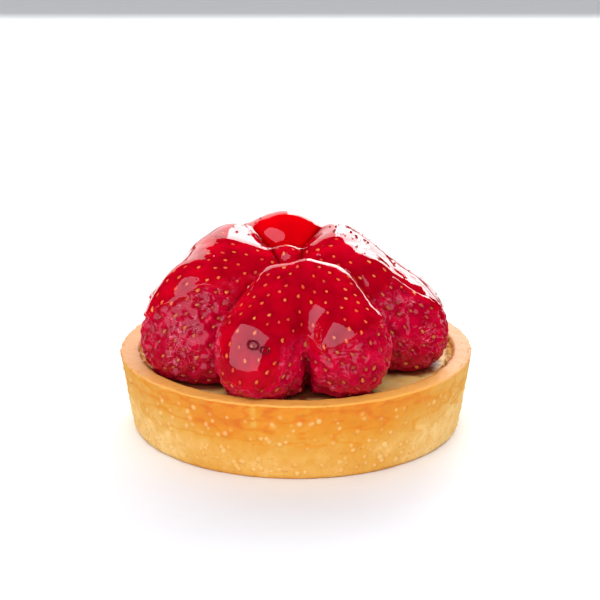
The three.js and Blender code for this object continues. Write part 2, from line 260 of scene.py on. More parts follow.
def scatter_lumps():
    """(arc length, height, radius, strength) of broad low lumps high on the wall, where the dough
    was pressed over the ring's edge."""
    random = np.random.default_rng(5)
    across = random.uniform(-np.pi * RIM_RADIUS, np.pi * RIM_RADIUS, LUMP_COUNT)
    height = random.uniform(9.0, 18.0, LUMP_COUNT)
    radius = random.uniform(1.2, 3.2, LUMP_COUNT)
    strength = random.uniform(0.3, 1.0, LUMP_COUNT)
    return np.stack([across, height, radius, strength], axis=-1)


def toast_and_light_field(flat, angle, height):
    """How far the pastry is baked, mostly from 0 to 1, with painted light mixed in: more towards the
    rim, so that the lower wall is paler, partly as painted bounce light from the white board; along
    smears high on the wall; more at the very foot, partly as painted contact shade; and less on the
    left and right sides, which is painted light wrapping round them."""
    unrolled = np.stack([angle * RIM_RADIUS / 7.0, height / 2.6, np.zeros_like(angle)], axis=-1)
    smears = np.clip(1.0 - 3.0 * np.abs(fractal_noise(unrolled, 1.0, 31, 3)), 0, 1)
    toast_and_light = TOAST_LOW + TOAST_AND_BOUNCE_HIGHER_UP * smooth_step(5.0, 15.5, height)
    toast_and_light = toast_and_light + TOAST_MOTTLE * fractal_noise(flat, 6.5, 35)
    toast_and_light = toast_and_light + TOAST_SMEARS * smears * smooth_step(5.0, 11.0, height)
    toast_and_light = toast_and_light + FOOT_TOAST_AND_SHADE * smooth_step(0.5, 0.0, height)
    toast_and_light = toast_and_light - PAINTED_LIGHT_LEFT * smooth_step(0.4, 0.95, -np.cos(angle))
    return toast_and_light - PAINTED_LIGHT_RIGHT * smooth_step(0.4, 0.95, np.cos(angle))


def make_crust():
    """The turned section, with its outer wall moved outwards by
    grains + lumps + crumb + drip - waves - pores, and its rim lowered by waves and crumb."""
    section = crust_section()
    azimuth = np.arange(CRUST_AROUND) * 2 * np.pi / CRUST_AROUND
    radius = np.repeat(section[:, :1], CRUST_AROUND, axis=1)
    height = np.repeat(section[:, 1:], CRUST_AROUND, axis=1)
    angle = np.broadcast_to(azimuth, radius.shape)
    across = ((angle + np.pi) % (2 * np.pi) - np.pi) * RIM_RADIUS
    flat = around(radius, angle, height)
    on_wall = (radius > FLOOR_RADIUS + 1) & (height > 0.05)
    outside = on_wall & (radius > RIM_RADIUS - RIM_ROUND - (CUP_HEIGHT - height) * 0.2 - 0.4)
    grains = spot_field(across, height, scatter_grains(), 0.9) * outside * (height < CUP_HEIGHT - 1)
    lumps = spot_field(across, height, scatter_lumps(), 1.5) * outside
    crumb = fractal_noise(flat, 2.6, 21, 4)
    drip = np.exp(-(((across - DRIP_ACROSS + 0.5 * crumb) / DRIP_WIDTH) ** 2))
    drip = drip * smooth_step(11.5, 14.0, height)
    toast_and_light = toast_and_light_field(flat, angle, height) - PALER_DRIP * drip * outside
    pores = smooth_step(0.45, 0.8, value_noise(flat, 0.9, 40))
    pores = pores * smooth_step(-0.2, 0.4, value_noise(flat, 5.0, 41))
    ragged = np.clip(fractal_noise(flat, 1.8, 60), -1, 0.2)
    ragged = ragged * smooth_step(CUP_HEIGHT - 1.2, CUP_HEIGHT, height)
    push = CRUMB_RISE * crumb - PORE_DEPTH * pores - CRUST_UNEVENNESS * 0.5 * (1 + waves(angle, height))
    push = push + GRAIN_RISE * grains + LUMP_RISE * lumps + DRIP_RISE * drip + RAGGED_RISE * ragged
    inner_push = INNER_UNEVENNESS * fractal_noise(flat, 3.0, 70)
    radius = radius + np.where(on_wall, np.where(outside, push, inner_push), 0.0)
    on_rim = smooth_step(CUP_HEIGHT - 0.6, CUP_HEIGHT - 0.2, height)
    sag = 0.5 * CRUST_UNEVENNESS * (1 + waves(-angle, 3)) - 0.09 * crumb + 0.12 * pores
    height = height - on_rim * np.clip(sag, 0, 1)
    mesh = closed_grid_mesh("crust_pastry", around(radius, angle, height))
    store_value(mesh, "grain", grains)
    store_value(mesh, "toast_and_light", np.clip(toast_and_light, 0, 1))
    # Painted light and shade on the rim: its front, shaded by the fruit, is painted a brighter orange, and
    # its backlit sides a duller peach.
    store_value(mesh, "rim_front_painted_light", smooth_step(0.1, 0.95, -np.sin(angle)))
    store_value(mesh, "rim", on_rim)
    caramel = smooth_step(RIM_INNER_RADIUS + CARAMEL_WIDTH, RIM_INNER_RADIUS + 0.3, radius)
    caramel = caramel * (height > CUP_HEIGHT - 3) * smooth_step(-0.5, 0.5, value_noise(flat, 5.0, 75))
    store_value(mesh, "caramel", caramel)
    return mesh


def set_inputs(node, inputs):
    """Gives each named input of a node another node's output, a number or a colour."""
    for key, value in inputs.items():
        socket = node.inputs[key]
        if isinstance(value, bpy.types.NodeSocket):
            node.id_data.links.new(value, socket)
        elif socket.type == "RGBA":
            socket.default_value = (*value, 1.0)
        else:
            socket.default_value = value


def node_adder(tree):
    """A function that adds a node to a tree, with its settings and its inputs."""

    def add(kind, inputs=None, **settings):
        node = tree.nodes.new(kind)
        for key, value in settings.items():
            setattr(node, key, value)
        set_inputs(node, inputs or {})
        return node

    return add


def node_material(name):
    """A new node material; returns it with its Principled shader and a function that adds a node."""
    material = bpy.data.materials.new(name)
    material.use_nodes = True
    return material, material.node_tree.nodes["Principled BSDF"], node_adder(material.node_tree)


def stored(add, name):
    """The number that a mesh keeps under this name."""
    return add("ShaderNodeAttribute", attribute_name=name).outputs["Fac"]


def noise(add, place, scale, detail, distortion=0.0):
    """Noise between 0 and 1, as fine as scale patches to a metre."""
    inputs = {"Vector": place, "Scale": scale, "Detail": detail, "Distortion": distortion}
    return add("ShaderNodeTexNoise", inputs).outputs["Fac"]


def maths(add, operation, *values):
    """The result of an operation on up to three numbers."""
    return add("ShaderNodeMath", dict(enumerate(values)), operation=operation).outputs[0]


def stretch(add, value, low=0.0, high=1.0, start=0.0, end=1.0):
    """Start where a number is at low, end where it is at high, in proportion between, and no more
    beyond."""
    inputs = {"Value": value, "From Min": low, "From Max": high, "To Min": start, "To Max": end}
    return add("ShaderNodeMapRange", inputs).outputs[0]


def bump(add, height, strength, distance):
    """Normals tipped by the slopes of a height, of which 1 stands for the distance in metres."""
    inputs = {"Height": height, "Strength": strength, "Distance": distance}
    return add("ShaderNodeBump", inputs).outputs["Normal"]


def colour_ramp(add, factor, stops):
    """A colour ramp through (position, colour) stops."""
    node = add("ShaderNodeValToRGB", {"Fac": factor})
    elements = node.color_ramp.elements
    while len(elements) < len(stops):
        elements.new(0.5)
    for element, (position, colour) in zip(elements, stops):
        element.position = position
        element.color = (*colour, 1.0)
    return node.outputs["Color"]


def blend_colours(add, factor, first, second):
    """Mixes two colours by a factor."""
    return add("ShaderNodeMix", {0: factor, 6: first, 7: second}, data_type="RGBA").outputs[2]


def start_group(name, inputs, output):
    """A new group of shader nodes with named inputs and one named output, each with its kind of
    socket; returns it with a function that adds a node and what comes in at its inputs."""
    group = bpy.data.node_groups.new(name, "ShaderNodeTree")
    for side, sockets in (("INPUT", inputs), ("OUTPUT", output)):
        for label, kind in sockets.items():
            group.interface.new_socket(label, in_out=side, socket_type="NodeSocket" + kind)
    add = node_adder(group)
    return group, add, add("NodeGroupInput").outputs


def make_flecks():
    """Group that lays flecks of a second colour over a first: none where noise is below Bare, as
    much of them as Cover says where it is above Full."""
    inputs = {"Place": "Vector", "Colour": "Color", "Fleck Colour": "Color"}
    inputs |= dict.fromkeys(["Fineness", "Detail", "Bare", "Full", "Cover"], "Float")
    group, add, given = start_group("flecks", inputs, {"Colour": "Color"})
    patches = noise(add, given["Place"], given["Fineness"], given["Detail"])
    cover = stretch(add, patches, given["Bare"], given["Full"], end=given["Cover"])
    add("NodeGroupOutput", {"Colour": blend_colours(add, cover, given["Colour"], given["Fleck Colour"])})
    return group


def make_fine_relief():
    """Group that gives normals tipped by noise: Strength of the way to a relief that is Depth
    metres high."""
    inputs = {"Place": "Vector"} | dict.fromkeys(["Fineness", "Detail", "Strength", "Depth"], "Float")
    group, add, given = start_group("fine_relief", inputs, {"Normal": "Vector"})
    patches = noise(add, given["Place"], given["Fineness"], given["Detail"])
    add("NodeGroupOutput", {"Normal": bump(add, patches, given["Strength"], given["Depth"])})
    return group


FLECKS = make_flecks()
FINE_RELIEF = make_fine_relief()


def add_flecks(add, place, colour, fleck_colour, fineness, detail, bare, full, cover):
    """A colour with flecks over it, as fine as fineness patches to a metre."""
    inputs = {"Place": place, "Colour": colour, "Fleck Colour": fleck_colour}
    inputs |= {"Fineness": fineness, "Detail": detail, "Bare": bare, "Full": full, "Cover": cover}
    return add("ShaderNodeGroup", inputs, node_tree=FLECKS).outputs["Colour"]


def add_fine_relief(add, place, fineness, detail, strength, depth):
    """Normals of a fine relief, as fine as fineness patches to a metre."""
    inputs = {"Place": place, "Fineness": fineness, "Detail": detail, "Strength": strength, "Depth": depth}
    return add("ShaderNodeGroup", inputs, node_tree=FINE_RELIEF).outputs["Normal"]


PASTRY_TONES = [
    (0.0, (0.97, 0.63, 0.23)),
    (0.12, (0.87, 0.48, 0.11)),
    (0.25, (0.82, 0.405, 0.064)),
    (0.48, (0.80, 0.315, 0.022)),
    (0.70, (0.79, 0.25, 0.012)),
    (0.87, (0.74, 0.18, 0.010)),
    (1.0, (0.56, 0.11, 0.010)),
]
RIM_SIDE_PAINTED_PEACH = (0.76, 0.375, 0.15)
RIM_FRONT_PAINTED_ORANGE = (0.97, 0.46, 0.085)
CARAMEL_BROWN = (0.66, 0.20, 0.03)
SPECK_BROWN = (0.62, 0.24, 0.05)
FLECK_BROWN = (0.50, 0.17, 0.03)
HALO_ORANGE = (0.78, 0.27, 0.02)
GRAIN_CREAM = (0.97, 0.66, 0.27)


def pastry_material():
    """Golden pastry: pale gold where least baked, through orange to brown, by a stored baking that also
    holds painted light; peach on the rim and more orange at its front, which is painted light and
    shade: the front, shaded by the fruit, is painted brighter and the backlit sides a duller peach;
    with caramel along its inner edge. It has brown specks and smaller flecks, and each pale grain has
    an orange halo."""
    material, shader, add = node_material("baked_pastry")
    place = add("ShaderNodeTexCoord").outputs["Object"]
    baked_and_lit = maths(add, "MULTIPLY_ADD", noise(add, place, 420.0, 4.0), 0.5, stored(add, "toast_and_light"))
    colour = colour_ramp(add, stretch(add, baked_and_lit, 0.2, 1.5), PASTRY_TONES)
    rim_painted_light = blend_colours(add, stored(add, "rim_front_painted_light"), RIM_SIDE_PAINTED_PEACH, RIM_FRONT_PAINTED_ORANGE)
    colour = blend_colours(add, stored(add, "rim"), colour, rim_painted_light)
    caramel = maths(add, "MULTIPLY", stored(add, "caramel"), 0.7)
    colour = blend_colours(add, caramel, colour, CARAMEL_BROWN)
    colour = add_flecks(add, place, colour, SPECK_BROWN, 900.0, 2.0, bare=0.66, full=0.74, cover=0.4)
    colour = add_flecks(add, place, colour, FLECK_BROWN, 1700.0, 1.0, bare=0.68, full=0.74, cover=0.45)
    grain = stored(add, "grain")
    halo = colour_ramp(add, grain, [(0.0, (0, 0, 0)), (0.08, (0.4, 0.4, 0.4)), (0.3, (0, 0, 0))])
    colour = blend_colours(add, halo, colour, HALO_ORANGE)
    colour = blend_colours(add, stretch(add, grain, 0.1, 0.75, end=0.6), colour, GRAIN_CREAM)
    inputs = {
        "Base Color": colour,
        "Normal": add_fine_relief(add, place, 1500.0, 3.0, strength=0.5, depth=0.0002),
        "Roughness": 0.5,
        "Specular IOR Level": 0.24,
        "Subsurface Weight": 0.15,
        "Subsurface Radius": (1.0, 0.5, 0.2),
        "Subsurface Scale": 0.001,
    }
    set_inputs(shader, inputs)
    return material


crust = add_piece("crust_pastry", make_crust(), pastry_material())
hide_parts("crust")


# ---- Filling. Baked custard, poured to two millimetres under the rim. Its top is almost flat, with
# pale specks; where it met the hot rim it bubbled up and browned. A polar grid, dense near the edge.
FILLING_TOP = 16.5
FILLING_OUTER_RADIUS = RIM_INNER_RADIUS - 0.15
FILLING_BOTTOM = FLOOR_THICKNESS + 0.35
FILLING_AROUND = 720
EDGE_WIDTH = 2.0
EDGE_RISE = 1.2
CUSTARD_TONES = [(0.3, (0.93, 0.55, 0.16)), (0.55, (0.98, 0.68, 0.23)), (0.8, (0.99, 0.78, 0.38))]
BROWNED_TONES = [(0.35, (0.66, 0.26, 0.035)), (0.6, (0.93, 0.54, 0.12))]
CUSTARD_SPECK = (0.95, 0.78, 0.5)
SOAKED_AND_SHADED_BROWN = (0.24, 0.045, 0.012)


def filling_edge(azimuth):
    """How strongly the edge has bubbled up, from 0 to 1, round the tart: most on the left and the
    right, hardly at the front."""
    sides = 0.5 + 0.5 * np.cos(2 * azimuth + 0.25)
    return np.clip(0.15 + 0.85 * sides**2 + 0.25 * np.sin(11 * azimuth) * sides, 0, 1)


def make_filling():
    """Disc whose top rises at its edge by the bubbled strip's height times a lumpy field, and dips
    elsewhere by soft noise."""
    outer = FILLING_OUTER_RADIUS
    radii = np.concatenate([[2.0, 10.0, 18.0], np.linspace(22.0, 32.0, 34), np.linspace(32.2, outer, 44)])
    azimuth = np.arange(FILLING_AROUND) * 2 * np.pi / FILLING_AROUND
    radius, angle = np.meshgrid(radii[::-1], azimuth, indexing="ij")
    flat = around(radius, angle, 0.0)
    ring = smooth_step(outer - EDGE_WIDTH, outer - 0.5, radius) * filling_edge(angle)
    bubbles = np.abs(value_noise(flat, 1.1, 90)) + 0.5 * np.abs(value_noise(flat, 0.6, 91))
    top = FILLING_TOP + ring * (0.25 + EDGE_RISE * bubbles) + 0.10 * fractal_noise(flat, 4.0, 95)
    top = top + 0.12 * smooth_step(0.55, 0.8, value_noise(flat, 1.0, 97)) - 0.12
    side = np.array([[FLOOR_RADIUS - 0.5, FILLING_BOTTOM], [FLOOR_RADIUS + 0.5, 10.0], [outer - 0.3, 15.5]])
    below = around(side[:, :1], azimuth, side[:, 1:])
    mesh = closed_grid_mesh("filling_custard", np.concatenate([below, around(radius, angle, top)]))
    store_value(mesh, "browned", np.concatenate([np.zeros(below.shape[:2]), ring]))
    return mesh


def custard_material():
    """Custard: beige yellow with pale specks, golden brown where it bubbled, and darker next to the
    fruit, partly from juice soaked in and partly as painted shade under the berries."""
    material, shader, add = node_material("baked_custard")
    place = add("ShaderNodeTexCoord").outputs["Object"]
    cloud = noise(add, place, 220.0, 5.0)
    colour = colour_ramp(add, cloud, CUSTARD_TONES)
    colour = add_flecks(add, place, colour, CUSTARD_SPECK, 800.0, 1.0, bare=0.64, full=0.72, cover=1.0)
    colour = blend_colours(add, stored(add, "browned"), colour, colour_ramp(add, cloud, BROWNED_TONES))
    # Darker next to the fruit: partly juice, partly painted shade.
    inputs = {
        "Base Color": blend_colours(add, stored(add, "juice_and_shade"), colour, SOAKED_AND_SHADED_BROWN),
        "Roughness": 0.55,
        "Specular IOR Level": 0.35,
        "Subsurface Weight": 0.3,
        "Subsurface Radius": (1.0, 0.6, 0.3),
        "Subsurface Scale": 0.0015,
    }
    set_inputs(shader, inputs)
    return material


filling = add_piece("filling_custard", make_filling(), custard_material())
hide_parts("filling")


# ---- Strawberries. Whole ripe fruit laid tips together, each with two broad shoulders. A berry is
# a few cones with round ends melted together and flattened where it presses on its neighbours; its
# skin is a grid of points found along rays from a point inside it, the core.
PRESS_GAP = 0.12
PRESS_ROUND = 1.2
BERRIES = {
    "berry_front": {
        "core": (1.5, -20.0, 30.0),
        "tip": (1.8, -13.0, 41.0),
        "blend": 3.0,
        "lobes": [
            ((-8.0, -29.3, 25.1), 10.0, (-2.5, -15.0, 34.0), 6.0),
            ((11.4, -28.8, 25.1), 9.3, (6.2, -15.0, 34.6), 6.0),
            ((1.9, -21.6, 29.9), 7.1, (2.6, -16.0, 38.4), 5.2),
            ((-12.0, -28.0, 29.0), 4.8, (-4.9, -16.5, 38.8), 2.8),
            ((15.1, -27.5, 29.2), 4.4, (7.9, -16.5, 39.1), 2.8),
            ((1.9, -20.0, 28.0), 8.2, (1.8, -10.0, 35.2), 6.2),
            ((-8.3, -32.1, 22.7), 7.1, (-5.0, -26.0, 30.0), 6.0),
            ((12.3, -28.9, 28.8), 7.5, (8.0, -18.0, 36.0), 5.6),
            ((-7.6, -29.0, 28.4), 8.4, (-3.0, -18.0, 36.0), 6.0),
            ((1.9, -26.5, 23.0), 7.2, (1.9, -20.0, 28.0), 6.8),
        ],
    },
    "berry_left": {
        "core": (-18.0, -3.0, 30.0),
        "tip": (-4.5, -3.0, 40.0),
        "blend": 5.0,
        "lobes": [
            ((-23.4, -14.0, 25.2), 12.2, (-17.0, -0.5, 36.3), 7.4),
            ((-25.8, 0.5, 25.4), 9.3, (-15.6, 7.0, 38.0), 5.8),
            ((-23.4, 9.0, 25.0), 9.2, (-14.6, 13.0, 37.4), 6.2),
            ((-15.8, 6.0, 38.4), 6.0, (-7.6, -1.0, 36.9), 4.2),
            ((-17.5, -17.5, 24.6), 9.4, (-9.0, -4.0, 35.4), 5.0),
            ((-21.2, -12.0, 34.0), 8.8, (-17.0, -2.0, 36.8), 7.2),
            ((-26.2, -4.0, 25.5), 7.6, (-18.5, 2.0, 35.2), 6.2),
        ],
    },
    "berry_right": {
        "core": (18.0, -2.0, 30.0),
        "tip": (3.5, -1.0, 41.0),
        "blend": 5.0,
        "lobes": [
            ((25.4, -9.0, 24.4), 9.9, (11.4, -0.5, 35.2), 7.0),
            ((17.5, -11.0, 27.5), 8.6, (7.0, -1.0, 36.2), 6.0),
            ((25.0, 8.0, 25.0), 8.6, (10.8, 11.0, 36.2), 6.3),
            ((9.9, 5.0, 36.2), 7.1, (8.2, 10.5, 37.8), 6.4),
            ((14.2, -7.6, 35.4), 6.8, (9.0, -1.0, 36.6), 6.2),
            ((25.0, -0.5, 26.0), 8.7, (11.4, 5.0, 36.0), 7.0),
        ],
    },
    "berry_back": {
        "core": (-1.0, 19.0, 31.0),
        "tip": (-2.0, 6.0, 43.0),
        "blend": 5.0,
        "lobes": [
            ((-12.5, 25.0, 25.3), 10.5, (-8.6, 14.5, 37.0), 7.1),
            ((12.5, 25.0, 25.3), 10.5, (0.4, 12.5, 38.9), 6.8),
            ((0.0, 22.0, 28.0), 10.0, (-2.6, 13.0, 39.6), 6.8),
            ((-2.0, 13.0, 34.0), 9.0, (-2.2, 5.0, 34.2), 6.6),
        ],
    },
    "berry_centre": {
        "core": (-1.5, -2.0, 30.0),
        "tip": (-2.5, -0.5, 42.0),
        "blend": 2.0,
        "lobes": [
            ((-1.0, -3.0, 26.5), 8.5, (-3.2, -0.2, 38.9), 3.1),
            ((0.0, -3.0, 27.0), 7.5, (-1.5, -1.0, 39.4), 2.8),
        ],
    },
}
CLEFT_BERRY = "berry_front"
CLEFT_CENTRE = 2.4
CLEFT_HALF_WIDTH = 0.8
CLEFT_INNER_ROUND = 1.2
CLEFT_OUTER_ROUND = 1.5
CLEFT_TOP = np.array([-32.0, 27.2])
CLEFT_BOTTOM = np.array([-25.0, 17.0])
SKIN_ROWS = 250
SKIN_COLUMNS = 380


def smooth_min(a, b, width):
    """Smaller of two distances a and b, less h^2 w / 4, where h = 1 - |a - b| / w, and no less than
    0, says how alike they are: it melts two shapes together over a width w."""
    overlap = np.maximum(width - np.abs(a - b), 0.0) / width
    return np.minimum(a, b) - overlap * overlap * width / 4


def smooth_max(a, b, width):
    """Larger of two distances, with the edge between them rounded."""
    return -smooth_min(-a, -b, width)


def lobe_distance(points, foot, foot_radius, tip, tip_radius):
    """Distance to a cone with round ends: to the ball at either end where a point lies beyond the
    cone's slanted side, and to that side elsewhere."""
    foot = np.array(foot)
    axis = np.array(tip) - foot
    length_sq = axis @ axis
    taper = foot_radius - tip_radius
    slant_sq = length_sq - taper * taper
    to_point = points - foot
    along = to_point @ axis
    beyond = along - length_sq
    across = to_point * length_sq - along[..., None] * axis
    across_sq = np.einsum("...i,...i", across, across)
    slope = np.sign(taper) * taper * taper * across_sq
    side = (np.sqrt(across_sq * slant_sq / length_sq) + along * taper) / length_sq - foot_radius
    foot_ball = np.sqrt(across_sq + along * along * length_sq) / length_sq - foot_radius
    tip_ball = np.sqrt(across_sq + beyond * beyond * length_sq) / length_sq - tip_radius
    distance = np.where(np.sign(along) * slant_sq * along * along * length_sq < slope, foot_ball, side)
    return np.where(np.sign(beyond) * slant_sq * beyond * beyond * length_sq > slope, tip_ball, distance)


def unit(vectors):
    """Vectors in the same directions, of length 1."""
    return vectors / np.linalg.norm(vectors, axis=-1, keepdims=True)


def cleft_distance(points):
    """Distance to the blade-shaped gap between the front berry's lobes: in front of and below a
    slanted line, and within half a width of its middle plane."""
    run = unit(CLEFT_BOTTOM - CLEFT_TOP)
    behind = (points[..., 1] - CLEFT_TOP[0]) * -run[1] + (points[..., 2] - CLEFT_TOP[1]) * run[0]
    return smooth_max(np.abs(points[..., 0] - CLEFT_CENTRE) - CLEFT_HALF_WIDTH, behind, CLEFT_INNER_ROUND)


def berry_distance(points, name):
    """Distance to a berry on its own: the smooth minimum over its lobes, less its cleft."""
    berry = BERRIES[name]
    distance = None
    for lobe in berry["lobes"]:
        step = lobe_distance(points, *lobe)
        distance = step if distance is None else smooth_min(distance, step, berry["blend"])
    if name == CLEFT_BERRY:
        distance = smooth_max(distance, -cleft_distance(points), CLEFT_OUTER_ROUND)
    return distance


def neighbour_distance(points, name):
    """Distance to the nearest of the other berries."""
    return np.min([berry_distance(points, other) for other in BERRIES if other != name], axis=0)


def cup_distance(points):
    """Distance to the rim and the custard's top, whichever is nearer."""
    inwards = RIM_INNER_RADIUS - np.hypot(points[..., 0], points[..., 1])
    above = points[..., 2] - CUP_HEIGHT
    outside_corner = np.hypot(np.maximum(inwards, 0), np.maximum(above, 0))
    rim = outside_corner + np.minimum(np.maximum(inwards, above), 0)
    return np.minimum(rim, points[..., 2] - FILLING_TOP)


def pressed_distance(points, name):
    """Distance to a berry that is flattened, with rounded edges, against the cup and against the
    surface halfway to every other berry, a small gap short of both."""
    own = berry_distance(points, name)
    distance = smooth_max(own, PRESS_GAP - cup_distance(points), PRESS_ROUND)
    for other in BERRIES:
        if other != name:
            halfway = (own - berry_distance(points, other) + PRESS_GAP) / 2
            distance = smooth_max(distance, halfway, PRESS_ROUND)
    return distance


def berry_axes(name):
    """Three unit vectors of a berry: across, up and towards its tip."""
    towards = unit(np.subtract(BERRIES[name]["tip"], BERRIES[name]["core"]))
    across = unit(np.cross(towards, [0.0, 0.0, 1.0]))
    return np.stack([across, np.cross(towards, across), towards])


def follow_rays(distance, start, directions, reach, limits, pace, steps):
    """Where rays from a start meet a surface: each point moves along its ray by its distance to
    the surface, times a pace, until it arrives."""
    reach = np.full(directions.shape[:-1], reach)
    for _ in range(steps):
        reach = np.clip(reach - pace * distance(start + directions * reach[..., None]), *limits)
    return start + directions * reach[..., None]


def surface_normals(distance, points, step):
    """Outward unit normals: the slope of the distance to a surface, by central differences."""
    slope = [distance(points + step * axis) - distance(points - step * axis) for axis in np.eye(3)]
    return unit(np.stack(slope, axis=-1))


# How low the glaze has run, as (degrees round the tart, height): a deep tongue lies over the front
# berry's left lobe and a short one over its right lobe, and the left berry is bare next to them. It
# thins from full to bare over a short drop.
GLAZE_FADE = (-0.8, 0.7)
GLAZE_EDGE = np.array(
    [
        (-180, 31), (-155, 30.6), (-147, 33.6), (-142, 34.6), (-139, 37.2), (-136, 38.4), (-132, 38.2),
        (-128, 36.8), (-124, 34.6), (-118, 32), (-114, 21.6), (-101, 20.8), (-96, 23), (-95, 30.2),
        (-88, 31.4), (-82, 27.9), (-75, 30.4), (-68, 33), (-44, 34.8), (-28, 37), (-24, 36), (-19, 30),
        (0, 29.5), (30, 32), (60, 28.5), (95, 31), (130, 27.5), (155, 31.5), (180, 31),
    ]
)


def glaze_drop(points):
    """How far a point lies above the glaze's ragged lower edge; less than nothing where it is bare."""
    azimuth = np.degrees(np.arctan2(points[..., 1], points[..., 0]))
    ragged = 0.9 * value_noise(points, 3.5, 300) + 0.6 * value_noise(points, 1.4, 301)
    return points[..., 2] - np.interp(azimuth, GLAZE_EDGE[:, 0], GLAZE_EDGE[:, 1]) + ragged


def glaze_cover(points):
    """1 where a point lies under full glaze, 0 where it is bare."""
    return smooth_step(*GLAZE_FADE, glaze_drop(points))


def sphere_directions(rows, columns, axes):
    """Unit vectors of a grid of latitudes and longitudes whose poles lie on the third axis; the
    rows climb from the far pole to the near one, without the poles themselves."""
    latitude = np.linspace(-np.pi / 2, np.pi / 2, rows + 2)[1:-1, None]
    longitude = np.arange(columns) * 2 * np.pi / columns
    return around(np.cos(latitude), longitude, np.sin(latitude)) @ axes


SEED_SPACING = dict.fromkeys(BERRIES, 2.55) | {"berry_right": 2.95, "berry_centre": 2.4}
SEEDS_TRIED = 6000
POINTS_AT_ONCE = 8000
SEED_CLEAR_OF_CUP = 0.9
SEED_CLEAR_OF_FRUIT = 0.7
PIT_RADIUS = 0.8
PIT_DEPTH = 0.42
PUFF_HEIGHT = 0.22
FOLD_HEIGHT = 0.4
SWELL_HEIGHT = 0.22
HIGHEST_PUSH = 0.4
BACK_DOME_REAR = 17.0
BACK_DOME_LEFT = -9.0


def place_seeds(skin, spacing, seed):
    """Numbers of skin points where seeds lie: tried in random order, each kept if it is at least
    the given spacing from those kept before."""
    random = np.random.default_rng(seed)
    tried = random.permutation(len(skin))[:SEEDS_TRIED]
    kept = np.empty((0, 3))
    numbers = []
    for number in tried:
        if len(kept) == 0 or ((kept - skin[number]) ** 2).sum(axis=1).min() > spacing**2:
            kept = np.concatenate([kept, skin[number][None]])
            numbers.append(number)
    return np.array(numbers)


def distance_to_seeds(points, places, lengthwise):
    """Distance from each point to its nearest seed, shortened along the seed's length by a third:
    d^2 = |p - s|^2 - 0.55 ((p - s) . a)^2, worked out in blocks of points."""
    nearest = np.empty(len(points))
    for start in range(0, len(points), POINTS_AT_ONCE):
        here = slice(start, start + POINTS_AT_ONCE)
        block = points[here]
        squared = (block**2).sum(1)[:, None] + (places**2).sum(1)[None] - 2 * block @ places.T
        along = block @ lengthwise.T - (places * lengthwise).sum(1)[None]
        nearest[here] = np.sqrt(np.maximum((squared - 0.55 * along**2).min(axis=1), 0.0))
    return nearest


def seed_axes(name, places, normals):
    """Lengthwise and sideways unit vectors of each seed: lengthwise is the direction to the tip,
    laid flat on the skin."""
    towards = np.array(BERRIES[name]["tip"]) - places
    lengthwise = unit(towards - (towards * normals).sum(-1, keepdims=True) * normals)
    return lengthwise, np.cross(normals, lengthwise)


def seed_numbers(name, skin, seed):
    """Numbers of the skin points that get a seed: none where the berry lies against the cup or its
    neighbours, nor where the back berry's smooth dome faces the middle of the heap."""
    numbers = place_seeds(skin, SEED_SPACING[name], seed)
    places = skin[numbers]
    free = cup_distance(places) > SEED_CLEAR_OF_CUP
    free &= neighbour_distance(places, name) > SEED_CLEAR_OF_FRUIT
    if name == "berry_back":
        free &= (places[:, 1] > BACK_DOME_REAR) | (places[:, 0] < BACK_DOME_LEFT)
    return numbers[free]


def skin_tints(name, skin):
    """Three numbers from 0 to 1 for each skin point, all of them for painted light: one paints light on
    the back berry's dome where it faces the middle of the heap; one marks where pale fibres show,
    mostly on the far left and right, and paints their glints as well as raising them; and one paints a
    glow where light would come through the front berry, along its left lobe and its cleft."""
    x, y, z = skin.T
    painted_dome_light, painted_glow = np.zeros(len(skin)), np.zeros(len(skin))
    fibres_and_glints = 0.3 + 0.7 * smooth_step(-5.0, -15.0, x) + 0.9 * smooth_step(22.0, 29.0, x)
    if name == "berry_back":
        painted_dome_light = smooth_step(20.0, 11.0, y)
    if name == CLEFT_BERRY:
        painted_glow = 0.3 + 0.7 * smooth_step(1.0, -5.0, x) + np.exp(-(((x - CLEFT_CENTRE) / 2.5) ** 2))
        painted_glow = np.clip(painted_glow, 0, 1) * smooth_step(35.0, 28.0, z)
    return {"painted_dome_light": painted_dome_light, "fibres_and_glints": np.clip(fibres_and_glints, 0, 1), "painted_glow": painted_glow}


